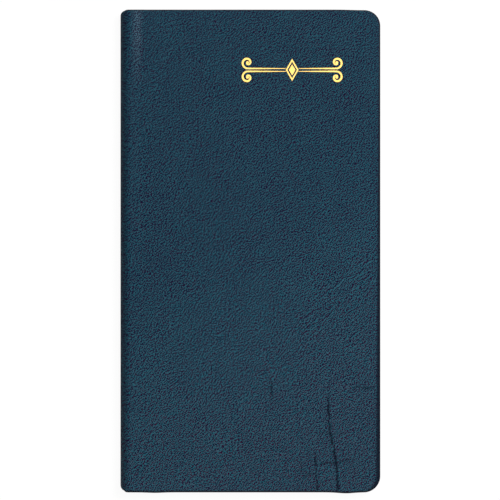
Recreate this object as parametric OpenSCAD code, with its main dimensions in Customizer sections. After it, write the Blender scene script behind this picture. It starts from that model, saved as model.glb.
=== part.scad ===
// Slim pocket address book: a flexible leather case with turned edges over thin boards, a
// hollow rounded back, and a sewn text block whose fore-edge is cut in twelve index steps.
// The closed book lies on its back cover: +Z points out of the front cover, +Y to the head
// and +X to the fore-edge. The origin is the middle of the underside. Millimetres.

/* [Case] */
// Width of the closed book, from the spine to the fore-edge
cover_w = 88.9; // [80:0.1:110]
// Height of the closed book, from tail to head
cover_h = 165.1; // [145:0.1:200]
// Thickness of the closed book over both covers
book_t = 10; // [8.5:0.1:14]
// Radius of the two fore-edge corners
corner_r = 5.6; // [3.5:0.1:9]
// Radius of the two corners at the spine
spine_corner_r = 1.7; // [0.8:0.1:3]
// How far the rounded back stands out past the spine edges of the covers
spine_bulge = 2.75; // [2.2:0.05:3.3]
// Rounding of the covers' outer edges at the head, tail and fore-edge
edge_r = 0.6; // [0.2:0.05:0.8]
// Thickness of the covering leather
leather_t = 0.45; // [0.3:0.05:0.55]
// Thickness of each cover board
board_t = 0.7; // [0.5:0.05:0.9]
// Thickness of the strip that lines the back
liner_t = 0.25; // [0.15:0.05:0.35]
// Width from the spine to the board, where each cover bends
hinge_w = 9; // [7:0.1:14]
// Width of the leather turned in over the boards
turn_in = 10; // [7:0.1:14]
// Opening between the two halves of the back, at the line about which the book opens
split_gap = 0.1; // [0.05:0.01:0.2]

/* [Endpapers] */
// Thickness of the endpapers
endpaper_t = 0.12; // [0.08:0.01:0.18]
// How far each pastedown stays inside the cover's edges
pastedown_margin = 1.6; // [1:0.1:3]
// Distance from the spine to each pastedown
pastedown_start = 3.4; // [3.4:0.1:5]

/* [Text block] */
// How far the covers stand out past the leaves at the head, tail and fore-edge
square_w = 2; // [1:0.1:3]
// Clearance between one section of leaves and the next
leaf_gap = 0.04; // [0.02:0.01:0.06]
// Clearance between the folds of the leaves and the inside of the case
back_gap = 0.4; // [0.35:0.05:0.6]
// Facets on the fold of a section
fold_facets = 7; // [3:2:9]
// Thickness of the sewing thread
thread_t = 0.26; // [0.15:0.01:0.3]
// Stitches along each fold
stitch_count = 4; // [3:1:6]
// Length of one stitch
stitch_l = 20; // [12:1:22]

/* [Index] */
// Depth of the index steps
tab_w = 6.5; // [4:0.1:9]
// Radius of the lower corner of each step
step_r = 1.6; // [0.5:0.1:3]
// Thickness of a laminated tab
tab_t = 0.08; // [0.05:0.01:0.1]
// Clearance from a tab to the cut edges of the leaves above it
tab_inset = 0.35; // [0.2:0.05:0.8]

/* [Ornament] */
// Distance of the ornament's middle from the fore-edge
ornament_from_fore = 30.15; // [28:0.05:40]
// Distance of the ornament's middle from the head
ornament_from_head = 20.65; // [18:0.05:42]
// Overall length of the ornament
ornament_l = 34.5; // [26:0.1:38]
// Width of the lozenge in the middle of the ornament
lozenge_w = 4.4; // [3:0.1:6]
// Height of the lozenge
lozenge_h = 7.6; // [4:0.1:9]
// Line width of the lozenge
lozenge_line = 0.55; // [0.4:0.05:0.8]
// Radius of each volute
volute_r = 2; // [1.4:0.05:2.2]
// Turns of each volute
volute_turns = 1.3; // [1:0.05:1.4]
// Width of a scroll where it is widest
scroll_line = 0.7; // [0.4:0.05:0.8]
// Radius of the eye in the middle of a volute
eye_r = 0.5; // [0.4:0.05:0.55]
// Thickness of the foil, and the depth at which it is stamped
foil_t = 0.05; // [0.03:0.01:0.08]

/* [Hidden] */
$fn = 96;
ARC_STEPS = 10;
SCROLL_STEPS = 34;
THREAD_SIDES = 8;
OVERCUT = 1;

INDEX = ["ab", "cd", "ef", "gh", "ij", "kl", "mn", "op", "qr", "st", "uv", "wz"];
section_count = len(INDEX);

LEATHER = "#2c4355";
BOARD = "#a08c6c";
LINER = "#c9bfa8";
ENDPAPER = "#e9e3d3";
PAPER = "#f3efe2";
TAB = "#5d7384";
THREAD = "#d9d2c2";
GOLD = "#dcb765";

// Case: the flat part of a cover is skin, board and turn-in. The hinge and the back are
// skin, liner and turn-in.
spine_x = -cover_w / 2;
fore_x = cover_w / 2;
head_y = cover_h / 2;
mid_z = book_t / 2;
cover_t = 2 * leather_t + board_t;
lining_t = 2 * leather_t + liner_t;
inner_z = book_t - cover_t;
board_x = spine_x + hinge_w;
// The outer curve of the back is one arc through the spine edges of both covers.
back_r = (pow(book_t / 2, 2) + pow(spine_bulge, 2)) / (2 * spine_bulge);
back_x = spine_x + back_r;

// Text block: from the back flyleaf up, each section takes one pitch.
page_x = fore_x - square_w;
page_y = head_y - square_w;
page_corner_r = corner_r - square_w;
cut_x = page_x - tab_w;
step_h = 2 * page_y / section_count;
stitch_pitch = 2 * page_y / stitch_count;
flyleaf_z = cover_t + endpaper_t + leaf_gap;
block_z = flyleaf_z + endpaper_t + leaf_gap;
block_top = book_t - block_z - tab_t;
pitch = (block_top - block_z + leaf_gap) / section_count;
section_t = pitch - leaf_gap;
fold_path_r = back_r - lining_t - back_gap;

// Ornament: two rules leave the lozenge on each side, and each ends in a volute.
rule_y = 0.7 * scroll_line;
rule_share = 0.25;
rule_end_x = ornament_l / 2 - volute_r;
// Where the middle line of a scroll ends inside its eye, as a share of the eye's radius
eye_share = 0.5;
volute_shrink = 1 - eye_share * eye_r / volute_r;
line_thinnest = 0.25;
foil_z = book_t - foil_t;

// Points along an arc about (x, y) with radius r, from angle a to angle b
function arc(x, y, r, a, b, steps = ARC_STEPS) =
    [for (i = [0 : steps]) let (t = a + (b - a) * i / steps) [x + r * cos(t), y + r * sin(t)]];

// Lower face of section j, counted from the front of the book
function section_z(j) = block_z + (section_count - 1 - j) * pitch;

// Spine side of a layer of paper between two heights: it follows the curve of the back.
function fold_x(low, high) =
    back_x - sqrt(pow(fold_path_r, 2) - pow(max(abs(low - mid_z), abs(high - mid_z)), 2));

// Spine side of section j
function section_x(j) = fold_x(section_z(j), section_z(j) + section_t);

// Head edge of the index step of section j
function step_top(j) = page_y - j * step_h;

// Children drawn in the X-Z plane, extruded along the height of the book
module along_y(height) {
    rotate([90, 0, 0])
        linear_extrude(height, center = true)
            children();
}

// Children built for the front cover, turned over for the back cover
module turned_over() {
    translate([0, 0, book_t])
        mirror([0, 0, 1])
            children();
}

// Outline of a cover or its board, inset on the three free sides
module cover_outline(inset) {
    x_end = fore_x - inset;
    y_end = head_y - inset;
    x_round = x_end - corner_r + inset;
    y_round = y_end - corner_r + inset;
    x_spine = spine_x + spine_corner_r;
    y_spine = y_end - spine_corner_r;
    polygon(concat(
        arc(x_round, y_round, corner_r - inset, 0, 90),
        arc(x_spine, y_spine, spine_corner_r, 90, 180),
        arc(x_spine, -y_spine, spine_corner_r, 180, 270),
        arc(x_round, -y_round, corner_r - inset, 270, 360)
    ));
}

// Outline of a sheet with square corners at the spine and round ones at the fore-edge
module sheet_outline(x_start, x_end, y_end, radius) {
    polygon(concat(
        arc(x_end - radius, y_end - radius, radius, 0, 90),
        [[x_start, y_end], [x_start, -y_end]],
        arc(x_end - radius, -y_end + radius, radius, 270, 360)
    ));
}

// Cross-section of the space that lies at least depth inside the outer surface of the case
module case_inside(depth) {
    intersection() {
        translate([spine_x, depth])
            square([cover_w, book_t - 2 * depth]);
        union() {
            translate([back_x, mid_z])
                circle(back_r - depth);
            translate([back_x, 0])
                square([cover_w, book_t]);
        }
    }
}

// Cross-section of a layer of the case between two depths, on the front half of the book
module case_layer(outer, inner, x_end) {
    intersection() {
        difference() {
            case_inside(outer);
            case_inside(inner);
        }
        translate([spine_x, mid_z + split_gap / 2])
            square([x_end - spine_x, book_t]);
    }
}

// Cross-section of a whole cover, without its pastedown
module cover_section() {
    case_layer(0, lining_t, board_x);
    translate([board_x - leather_t, inner_z])
        square([fore_x - board_x + leather_t, cover_t]);
}

module board_section() {
    translate([board_x, inner_z + leather_t])
        square([fore_x - leather_t - board_x, board_t]);
}

module liner_section() {
    case_layer(leather_t, leather_t + liner_t, board_x);
}

// Cross-section of the leather that is turned in at the head and the tail
module turn_in_section() {
    difference() {
        cover_section();
        case_layer(0, leather_t, fore_x);
        liner_section();
        board_section();
    }
}

// The space under a cover whose outer edge is rounded at the fore-edge
module rounded_fore_edge() {
    along_y(cover_h)
        polygon(concat(
            [[spine_x, 0], [fore_x, 0]],
            arc(fore_x - edge_r, book_t - edge_r, edge_r, 0, 90),
            [[spine_x, book_t]]
        ));
}

// The space under a cover whose outer edges are rounded at the head and the tail
module rounded_ends() {
    rotate([90, 0, 90])
        linear_extrude(cover_w, center = true)
            polygon(concat(
                [[-head_y, 0], [head_y, 0]],
                arc(head_y - edge_r, book_t - edge_r, edge_r, 0, 90),
                arc(-head_y + edge_r, book_t - edge_r, edge_r, 90, 180)
            ));
}

module board() {
    intersection() {
        along_y(cover_h) board_section();
        linear_extrude(book_t) cover_outline(leather_t);
    }
}

module spine_liner() {
    along_y(cover_h - 2 * (leather_t + spine_corner_r)) liner_section();
}

// The window inside the turned-in leather, through the hinge and the back too
module leather_window() {
    intersection() {
        along_y(cover_h - 2 * turn_in) turn_in_section();
        translate([spine_x, -head_y, 0])
            cube([cover_w - turn_in, cover_h, book_t]);
    }
}

module cover_leather() {
    difference() {
        intersection() {
            along_y(cover_h) cover_section();
            linear_extrude(book_t) cover_outline(0);
            rounded_fore_edge();
            rounded_ends();
        }
        board();
        spine_liner();
        leather_window();
    }
}

// The part of the window over the board, inset on its four sides
module board_window(inset, z, height) {
    y_end = head_y - turn_in - inset;
    translate([board_x + inset, -y_end, z])
        cube([fore_x - turn_in - board_x - 2 * inset, 2 * y_end, height]);
}

// The pastedown covers the turn-ins and is pressed onto the board inside them.
module pastedown() {
    difference() {
        union() {
            translate([0, 0, inner_z - endpaper_t])
                linear_extrude(endpaper_t)
                    sheet_outline(spine_x + pastedown_start, fore_x - pastedown_margin,
                        head_y - pastedown_margin, corner_r - pastedown_margin);
            board_window(0, inner_z, leather_t);
        }
        board_window(endpaper_t, inner_z - endpaper_t - OVERCUT, leather_t + OVERCUT);
    }
}

module flyleaf() {
    z = book_t - flyleaf_z - endpaper_t;
    translate([0, 0, z])
        linear_extrude(endpaper_t)
            sheet_outline(fold_x(z, z + endpaper_t), page_x, page_y, page_corner_r);
}

// Width of a scroll and the direction across it, at share u of its length
function scroll_width(u) = scroll_line * (line_thinnest + (1 - line_thinnest) * sin(180 * u));
function volute_angle(u) = u < rule_share
    ? -90
    : -90 + 360 * volute_turns * (u - rule_share) / (1 - rule_share);
function volute_radius(u) = u < rule_share
    ? volute_r
    : volute_r * (1 - volute_shrink * (u - rule_share) / (1 - rule_share));

// Point beside the middle line of a scroll, side times half its width away
function scroll_point(u, side) =
    let (
        angle = volute_angle(u),
        radius = volute_radius(u) - side * scroll_width(u) / 2,
        back = rule_end_x - lozenge_w / 2,
        x = rule_end_x - back * max(0, 1 - u / rule_share)
    )
    [x + radius * cos(angle), rule_y + volute_r + radius * sin(angle)];

module scroll() {
    polygon(concat(
        [for (i = [0 : SCROLL_STEPS]) scroll_point(i / SCROLL_STEPS, 1)],
        [for (i = [SCROLL_STEPS : -1 : 0]) scroll_point(i / SCROLL_STEPS, -1)]
    ));
    translate([rule_end_x, rule_y + volute_r])
        circle(eye_r);
}

module lozenge(inset) {
    x = lozenge_w / 2 - inset;
    y = lozenge_h / 2 - inset * lozenge_h / lozenge_w;
    polygon([[x, 0], [0, y], [-x, 0], [0, -y]]);
}

module ornament_outline() {
    difference() {
        lozenge(0);
        lozenge(lozenge_line);
    }
    lozenge(2 * lozenge_line);
    for (x_side = [0, 1], y_side = [0, 1])
        mirror([x_side, 0])
            mirror([0, y_side])
                scroll();
}

// The stamped ornament, as thick as height
module ornament(height) {
    translate([fore_x - ornament_from_fore, head_y - ornament_from_head, foil_z])
        linear_extrude(height)
            ornament_outline();
}

// Outline of section j: it keeps its own index step and those above it
module leaf_outline(j) {
    x_start = section_x(j) - OVERCUT;
    y_step = step_top(j + 1);
    last = j == section_count - 1;
    polygon(concat(
        arc(page_x - page_corner_r, page_y - page_corner_r, page_corner_r, 0, 90),
        [[x_start, page_y], [x_start, -page_y]],
        last ? [] : [[cut_x, -page_y], [cut_x, y_step]],
        last
            ? arc(page_x - page_corner_r, -page_y + page_corner_r, page_corner_r, 270, 360)
            : arc(page_x - step_r, y_step + step_r, step_r, 270, 360)
    ));
}

// Section j of leaves, with its rounded fold
module section_solid(j) {
    z = section_z(j);
    radius = section_t / 2;
    x_fold = section_x(j) + radius * cos(90 / fold_facets);
    intersection() {
        translate([0, 0, z])
            linear_extrude(section_t)
                leaf_outline(j);
        along_y(cover_h)
            polygon(concat(
                arc(x_fold, z + radius, radius, 90, 270, fold_facets),
                [[fore_x, z], [fore_x, z + section_t]]
            ));
    }
}

// Laminated tab on the index step of section j
module index_tab(j) {
    translate([0, 0, section_z(j) + section_t])
        linear_extrude(tab_t)
            intersection() {
                leaf_outline(j);
                translate([cut_x + tab_inset, step_top(j + 1)])
                    square([tab_w, step_h - tab_inset]);
            }
}

// Stitches on the fold of section j
module stitches(j) {
    x = section_x(j) - thread_t / 2;
    z = section_z(j) + section_t / 2;
    half_turn = 180 / THREAD_SIDES;
    for (i = [0 : stitch_count - 1])
        translate([x, (i - (stitch_count - 1) / 2) * stitch_pitch, z])
            rotate([90, 0, 0])
                rotate(half_turn)
                    cylinder(h = stitch_l, d = thread_t / cos(half_turn), center = true,
                        $fn = THREAD_SIDES);
}

module back_cover_leather() { color(LEATHER) turned_over() cover_leather(); }
module back_board() { color(BOARD) turned_over() board(); }
module back_spine_liner() { color(LINER) turned_over() spine_liner(); }
module back_pastedown() { color(ENDPAPER) turned_over() pastedown(); }
module back_flyleaf() { color(ENDPAPER) turned_over() flyleaf(); }
module leaves(j) { color(PAPER) section_solid(j); }
module tab(j) { color(TAB) index_tab(j); }
module thread(j) { color(THREAD) stitches(j); }
module front_flyleaf() { color(ENDPAPER) flyleaf(); }
module front_pastedown() { color(ENDPAPER) pastedown(); }
module front_spine_liner() { color(LINER) spine_liner(); }
module front_board() { color(BOARD) board(); }
module front_cover_leather() {
    color(LEATHER)
        difference() {
            cover_leather();
            ornament(foil_t + OVERCUT);
        }
}
module foil_ornament() { color(GOLD) ornament(foil_t); }

back_cover_leather();
back_board();
back_spine_liner();
back_pastedown();
back_flyleaf();
for (j = [0 : section_count - 1]) {
    leaves(j);
    tab(j);
    thread(j);
}
front_flyleaf();
front_pastedown();
front_spine_liner();
front_board();
front_cover_leather();
foil_ornament();
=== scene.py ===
import math

import bmesh
import bpy
import numpy as np
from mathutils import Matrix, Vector
from mathutils.geometry import delaunay_2d_cdt


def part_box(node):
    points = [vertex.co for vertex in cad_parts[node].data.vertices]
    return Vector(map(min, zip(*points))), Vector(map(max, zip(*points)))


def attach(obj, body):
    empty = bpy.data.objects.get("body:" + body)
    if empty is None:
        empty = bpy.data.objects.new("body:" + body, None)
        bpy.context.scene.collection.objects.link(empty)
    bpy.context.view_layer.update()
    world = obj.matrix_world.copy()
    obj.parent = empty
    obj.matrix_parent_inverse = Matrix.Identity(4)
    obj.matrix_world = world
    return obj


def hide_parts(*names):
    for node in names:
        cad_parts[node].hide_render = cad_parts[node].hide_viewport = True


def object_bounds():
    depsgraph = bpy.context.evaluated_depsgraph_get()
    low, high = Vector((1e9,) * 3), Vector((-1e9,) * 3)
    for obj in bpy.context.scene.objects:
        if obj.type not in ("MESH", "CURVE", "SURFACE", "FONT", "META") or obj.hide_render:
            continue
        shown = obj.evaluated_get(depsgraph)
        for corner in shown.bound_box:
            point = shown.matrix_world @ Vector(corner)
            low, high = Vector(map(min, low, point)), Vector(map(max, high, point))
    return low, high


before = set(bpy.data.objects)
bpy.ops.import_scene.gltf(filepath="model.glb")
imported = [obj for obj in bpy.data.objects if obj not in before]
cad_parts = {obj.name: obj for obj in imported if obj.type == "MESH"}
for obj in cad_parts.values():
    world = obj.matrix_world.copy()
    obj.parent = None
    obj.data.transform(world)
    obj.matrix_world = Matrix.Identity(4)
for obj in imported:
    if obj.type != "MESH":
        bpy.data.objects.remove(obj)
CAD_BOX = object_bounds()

# The address book lies on its back cover: +Z out of the front cover, +Y to the head and +X to
# the fore-edge. Sizes in this script are in millimetres and become metres in mesh_piece().
MM = 0.001
RNG = np.random.default_rng(7)


def node_box(name):
    """Lowest and highest corner of a CAD node, in millimetres."""
    low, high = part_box(name)
    return np.array(low) / MM, np.array(high) / MM


# ---------------- sizes, from the frame
BOOK_LOW, BOOK_HIGH = (np.array(c) / MM for c in CAD_BOX)
SPINE_X, FORE_X = BOOK_LOW[0], BOOK_HIGH[0]
HEAD_Y = BOOK_HIGH[1]
BOOK_T = BOOK_HIGH[2]
MID_Z = BOOK_T / 2
BOARD_LOW, BOARD_HIGH = node_box("front_board")
LEATHER_T = BOOK_T - BOARD_HIGH[2]
COVER_T = BOARD_HIGH[2] - BOARD_LOW[2] + 2 * LEATHER_T
HINGE_W = BOARD_LOW[0] - SPINE_X
PASTE_LOW, PASTE_HIGH = node_box("front_pastedown")
PAPER_T = BOOK_T - COVER_T - PASTE_LOW[2]
LINER_T = 0.25
LINING_T = 2 * LEATHER_T + LINER_T
SPINE_BULGE = 2.75
BACK_R = (MID_Z**2 + SPINE_BULGE**2) / (2 * SPINE_BULGE)
BACK_X = SPINE_X + BACK_R
CORNER_R = 5.6
SPINE_CORNER_R = 1.7
# The turned edge in section: inset from the outline and depth below the cover's face
EDGE_PROFILE = [(1.35, 0.0), (1.15, 0.02), (0.98, 0.07), (0.84, 0.16), (0.72, 0.3), (0.5, 0.62),
                (0.28, 0.95), (0.12, 1.12), (0.03, 1.22), (0.0, 1.3)]
EDGE_PAINTED_SHADE = [0, 0.1, 0.35, 0.65, 0.85, 1, 1, 1, 1, 1]  # painted shade: how much darker the leather is painted there, where the turned edge slopes away from the light
EDGE_BEVEL = 0.75  # how far the board under it is bevelled
# How wide it is at the head and the tail, and at the fore-edge's upper and lower ends
EDGE_HEAD, EDGE_TAIL, EDGE_FORE = 0.4, 0.6, (0.5, 1.7)
TURN_IN = 10.0
INDEX = "ab cd ef gh ij kl mn op qr st uv wz".split()
INNER_Z = BOOK_T - COVER_T


# ---------------- mesh helpers
def placed(name, data):
    """A new object with this data, in the scene."""
    made = bpy.data.objects.new(name, data)
    bpy.context.scene.collection.objects.link(made)
    return made


def mesh_piece(name, points, faces, look, body, slot=None, stands_for=(), sharp_angle=None,
               painted_shade=None, **finish):
    """A mesh object from points in millimetres, riding on a CAD body.

    It is flat shaded, or with a sharp angle tidied and smooth up to that angle.
    """
    mesh = bpy.data.meshes.new(name)
    mesh.from_pydata([tuple(np.array(p) * MM) for p in points], [], faces)
    mesh.validate()
    mesh.update()
    for polygon in mesh.polygons:
        polygon.use_smooth = sharp_angle is not None
    piece = placed(name, mesh)
    mesh.materials.append(look)
    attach(piece, body)
    if stands_for:
        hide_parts(*stands_for)
    if painted_shade is not None:
        mesh.attributes.new("painted_shade", "FLOAT", "POINT").data.foreach_set("value", painted_shade)
    if sharp_angle is not None:
        tidy(piece, **finish)
        mesh.set_sharp_from_angle(angle=math.radians(sharp_angle))


def tidy(piece, merge=1e-9, fill=False):
    """Merges doubles, closes the open end if asked, and turns all normals outward."""
    bm = bmesh.new()
    bm.from_mesh(piece.data)
    bmesh.ops.remove_doubles(bm, verts=bm.verts, dist=merge)
    if fill:
        open_edges = [e for e in bm.edges if e.is_boundary]
        made = bmesh.ops.holes_fill(bm, edges=open_edges, sides=0)["faces"]
        bmesh.ops.triangulate(bm, faces=made)
    bmesh.ops.recalc_face_normals(bm, faces=bm.faces)
    bm.to_mesh(piece.data)
    bm.free()


def arc(x, y, r, a, b, steps=10):
    """Points along an arc about (x, y), from angle a to angle b in degrees."""
    angles = np.radians(np.linspace(a, b, steps + 1))
    return [(x + r * math.cos(t), y + r * math.sin(t)) for t in angles]


def smoothstep(low, high, value):
    t = np.clip((np.asarray(value, float) - low) / (high - low), 0, 1)
    return t * t * (3 - 2 * t)


def stacked(loops):
    """Points and faces of a solid between outlines with equally many points."""
    n = len(loops[0])
    points = np.array([p for loop in loops for p in loop])
    faces = [tuple(reversed(range(n))), tuple((len(loops) - 1) * n + i for i in range(n))]
    for level in range(len(loops) - 1):
        for i in range(n):
            a, b = level * n + i, level * n + (i + 1) % n
            faces.append((a, b, b + n, a + n))
    return points, faces


def triangulated(loop, inside):
    """Triangles over a closed plan loop, through the points inside it too."""
    points = [Vector(p) for p in loop] + [Vector(p) for p in inside]
    count = len(loop)
    edges = [(i, (i + 1) % count) for i in range(count)]
    found = delaunay_2d_cdt(points, edges, [], 1, 1e-7)
    return np.array([tuple(p) for p in found[0]]), [tuple(f) for f in found[2]]


# ---------------- the case's surface
# s runs along the outer surface from the middle of the back, round it, and over the cover.
ARC_ANGLE = math.asin(MID_Z / BACK_R)
ARC_L = BACK_R * ARC_ANGLE
FLAT_START = SPINE_X + SPINE_BULGE
S_FORE = ARC_L + FORE_X - FLAT_START
SOFTEN = 0.9  # the break between the back and the cover is rounded over this length each way


def outer_profile(s):
    """(x, z, normal x, normal z) of the front half's outer surface at s."""
    s = np.asarray(s, float)
    on_arc = np.minimum(s, ARC_L) / BACK_R
    x_arc, z_arc = BACK_X - BACK_R * np.cos(on_arc), MID_Z + BACK_R * np.sin(on_arc)
    x = np.where(s <= ARC_L, x_arc, FLAT_START + s - ARC_L)
    z = np.where(s <= ARC_L, z_arc, BOOK_T)
    tilt = np.where(s <= ARC_L, np.pi / 2 - on_arc, 0.0)  # of the normal, from +Z towards -X
    # round the break: the normal turns evenly and the surface dips a little
    edge_tilt = np.pi / 2 - ARC_ANGLE
    turn = 1 - smoothstep(ARC_L - SOFTEN, ARC_L + SOFTEN, s)
    near = np.abs(s - ARC_L) < SOFTEN
    tilt = np.where(near, edge_tilt * turn, tilt)
    dip = SOFTEN * math.tan(edge_tilt / 2) / 2
    sink = dip * np.where(near, (1 - np.abs(s - ARC_L) / SOFTEN) ** 2, 0.0)
    return x + sink * np.sin(tilt), z - sink * np.cos(tilt), -np.sin(tilt), np.cos(tilt)


def case_point(s, y, depth):
    """The point at depth below the front half's outer surface."""
    x, z, nx, nz = outer_profile(s)
    return np.stack([x - depth * nx, np.broadcast_to(y, x.shape), z - depth * nz], -1)


BOARD_RAMP = (-0.8, 0.2)  # from the board's edge: the cover reaches its full thickness between these


def cover_depth(s):
    """Thickness of the cover at s: less where it has no board."""
    board_s = ARC_L + SPINE_X + HINGE_W - FLAT_START
    return LINING_T + (COVER_T - LINING_T) * smoothstep(*np.add(board_s, BOARD_RAMP), s)


BACK_FINE = 4.0  # the outline's points lie closer together over this length round the back
BACK_POINTS = 20
CORNER_POINTS = 15


def cover_path(inset, bevel=0.0, step=1.0):
    """Open outline (s, y) of the cover at an inset, from the head at the back round to the tail.

    bevel is a further inset, times the width that the turned edge has on each side.
    """
    at_head, at_tail, at_fore_head, at_fore_tail = (
        inset + bevel * k for k in (EDGE_HEAD, EDGE_TAIL, *EDGE_FORE))
    s_long = np.linspace(0, S_FORE - CORNER_R, int((S_FORE - CORNER_R) / step))
    s_long = np.concatenate([np.linspace(0, BACK_FINE, BACK_POINTS), s_long[s_long > BACK_FINE + 0.3]])
    y_start = HEAD_Y - CORNER_R
    y_long = np.linspace(y_start, -y_start, int((2 * HEAD_Y - 2 * CORNER_R) / step))

    def end(shift, at_fore):
        y_round, s_round = (max(CORNER_R - d, 0.05) for d in (shift, at_fore))
        straight = [(s, HEAD_Y - shift - spine_corner_drop(s)) for s in s_long[:-1]]
        return straight + [
            (S_FORE - at_fore - s_round * (1 - math.sin(t)), HEAD_Y - shift - y_round * (1 - math.cos(t)))
            for t in np.linspace(0, math.pi / 2, CORNER_POINTS)
        ]

    along = np.interp(y_long[1:-1], (y_long[-1], y_long[0]), (at_fore_tail, at_fore_head))
    fore = list(zip(S_FORE - along, y_long[1:-1]))
    tail = [(s, -y) for s, y in reversed(end(at_tail, at_fore_tail))]
    return np.array(end(at_head, at_fore_head) + fore + tail)


BOARD_CLEAR = 0.03  # between the board's edges and the leather round them
BOARD_SUNK = 0.02  # and over and under the board
# The board's edge in section, from the inside of the book out: inset, further inset times the
# turned edge's width, and height over the underside or, for the last two, under the top
BOARD_EDGE = [(0.08, 0.0, 0.0), (0.0, 0.0, 0.06), (0.0, 0.02, 0.16), (0.0, EDGE_BEVEL, -0.02),
              (0.1, EDGE_BEVEL, 0.0)]


def board_piece(side, front, look):
    """The board, its edges sanded to a bevel under the turned edge of the leather."""

    def outline(inset, bevel):
        path = cover_path(LEATHER_T + BOARD_CLEAR + inset, bevel)
        x = path[:, 0] - ARC_L + FLAT_START
        keep = x > BOARD_LOW[0] + 0.6
        y_end = path[keep, 1][0]
        x_start = BOARD_LOW[0] + BOARD_CLEAR + inset
        return [(x_start, y_end), *zip(x[keep], path[keep, 1]), (x_start, path[keep, 1][-1])]

    top, low = BOARD_HIGH[2] - BOARD_SUNK, BOARD_LOW[2] + BOARD_SUNK
    loops = [[(x, y, base + z) for x, y in outline(inset, bevel)]
             for base, (inset, bevel, z) in zip((low, low, low, top, top), BOARD_EDGE)]
    points, faces = stacked(loops)
    on_side(points, front)
    mesh_piece(f"{side}_grey_board", points, faces, look, f"{side}_cover", "board",
               [f"{side}_board"], 30)


def spine_corner_drop(s):
    """How far the head edge falls back near the spine, where the corner is rounded."""
    x = float(outer_profile(s)[0]) - SPINE_X
    if x >= SPINE_CORNER_R:
        return 0.0
    across = max(SPINE_CORNER_R**2 - (SPINE_CORNER_R - x) ** 2, 0.0)
    return max(0.0, SPINE_CORNER_R - math.sqrt(across))


def clear_of_corner(from_fore, from_end, margin):
    """True for points at these distances from the sides that keep a margin inside the round corner."""
    corner = (from_fore < CORNER_R) & (from_end < CORNER_R)
    return ~corner | (np.hypot(CORNER_R - from_fore, CORNER_R - from_end) < CORNER_R - margin)


def on_side(points, front):
    """Finishes points made for the front half: worn edges, or turned over for the back half."""
    if front:
        worn(points)
    else:
        points[:, 2] = BOOK_T - points[:, 2]


# ---------------- the leather's relief
def waves(x, y, wavelength, count, seed, spread=math.pi):
    """Smooth seeded relief between about -1 and 1."""
    rng = np.random.default_rng(seed)
    total = np.zeros_like(x)
    for _ in range(count):
        angle = rng.uniform(-spread, spread)
        k = 2 * math.pi / (wavelength * rng.uniform(0.7, 1.5))
        total += np.sin(k * (x * math.cos(angle) + y * math.sin(angle)) + rng.uniform(0, 2 * math.pi))
    return total / math.sqrt(count)


PIXEL = 2 * HEAD_Y / 483.0  # millimetres per pixel: the cover is 483 pixels tall in the photograph
PHOTO_CENTRE = (250.3, 251.0)  # the pixel at the cover's middle


def from_photo(px, py):
    """The place on the cover of a pixel of the photograph."""
    return (px - PHOTO_CENTRE[0]) * PIXEL, (PHOTO_CENTRE[1] - py) * PIXEL


# Where handling has pushed the front cover's edges towards the tail: place, half width, distance
WORN_TAIL = [(from_photo(346, 0)[0], 3.6, 0.34), (from_photo(155, 0)[0], 3.4, 0.17)]
WORN_HEAD = [(from_photo(362, 0)[0], 5.0, 0.17)]
WORN_IN = 7.0  # how far in from the edge it reaches


def worn(points):
    """Shifts the front cover's points where its head and tail edges are worn out of straight."""
    x, y = points[:, 0], points[:, 1]
    for dents, side in ((WORN_TAIL, -1), (WORN_HEAD, 1)):
        near = smoothstep(HEAD_Y - WORN_IN, HEAD_Y, side * y)
        for place, width, distance in dents:
            points[:, 1] -= near * distance * np.exp(-(((x - place) / width) ** 2))


# Creases in the lower right of the front cover: pixels of the photograph, width and depth
CREASES = [
    ([(328, 386), (328.3, 405), (328.6, 420), (330, 434), (333, 446), (335, 458), (336.5, 472),
      (338, 491), (340, 503)], 0.36, 0.26),
    ([(315, 452), (315.5, 464), (316, 476), (317.2, 490), (319, 503)], 0.34, 0.22),
    ([(314, 467), (321, 463.5), (329, 463), (338, 463.5), (346, 460), (353, 459)], 0.32, 0.17),
    ([(318, 434.5), (324, 432.5), (331, 434), (339, 434.5), (346, 433)], 0.3, 0.14),
    ([(352, 388), (360, 387), (367, 388.5), (376, 387.5)], 0.3, 0.14),
    ([(270, 376), (272, 383), (270.5, 389), (272, 396), (270, 401)], 0.32, 0.15),
    ([(302, 478), (308, 474), (316, 474)], 0.3, 0.12),
    ([(300, 460), (301, 468), (300.5, 474)], 0.3, 0.1),
]
CREASED = (from_photo(262, 500), from_photo(380, 370))  # the part of the cover that they are in
CREASED_END = FORE_X - 2.2


def in_creased(x, y, margin):
    """True in the creased part of the cover, grown by a margin."""
    (x0, y0), (x1, y1) = CREASED
    return (x > x0 - margin) & (x < x1) & (y > y0) & (y < y1 + margin) & (x < CREASED_END + margin)


def to_segment(x, y, a, b):
    """Distance from each point to the segment from a to b, and how far along it that is."""
    d = b - a
    t = np.clip(((x - a[0]) * d[0] + (y - a[1]) * d[1]) / (d @ d), 0, 1)
    return np.hypot(x - a[0] - t * d[0], y - a[1] - t * d[1]), t


def distance_to_path(x, y, path):
    """Distance from each point to a polyline, and how far along it the nearest point is."""
    best = np.full(x.shape, 1e9)
    along = np.zeros(x.shape)
    for i, (a, b) in enumerate(zip(path, path[1:])):
        gap, t = to_segment(x, y, np.array(a), np.array(b))
        nearer = gap < best
        best = np.where(nearer, gap, best)
        along = np.where(nearer, (i + t) / (len(path) - 1), along)
    return best, along


# The skin's unevenness, as height, then wavelength, number of waves and seed
UNEVEN = [(0.022, 16, 9, 3), (0.012, 6.5, 12, 5)]
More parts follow.
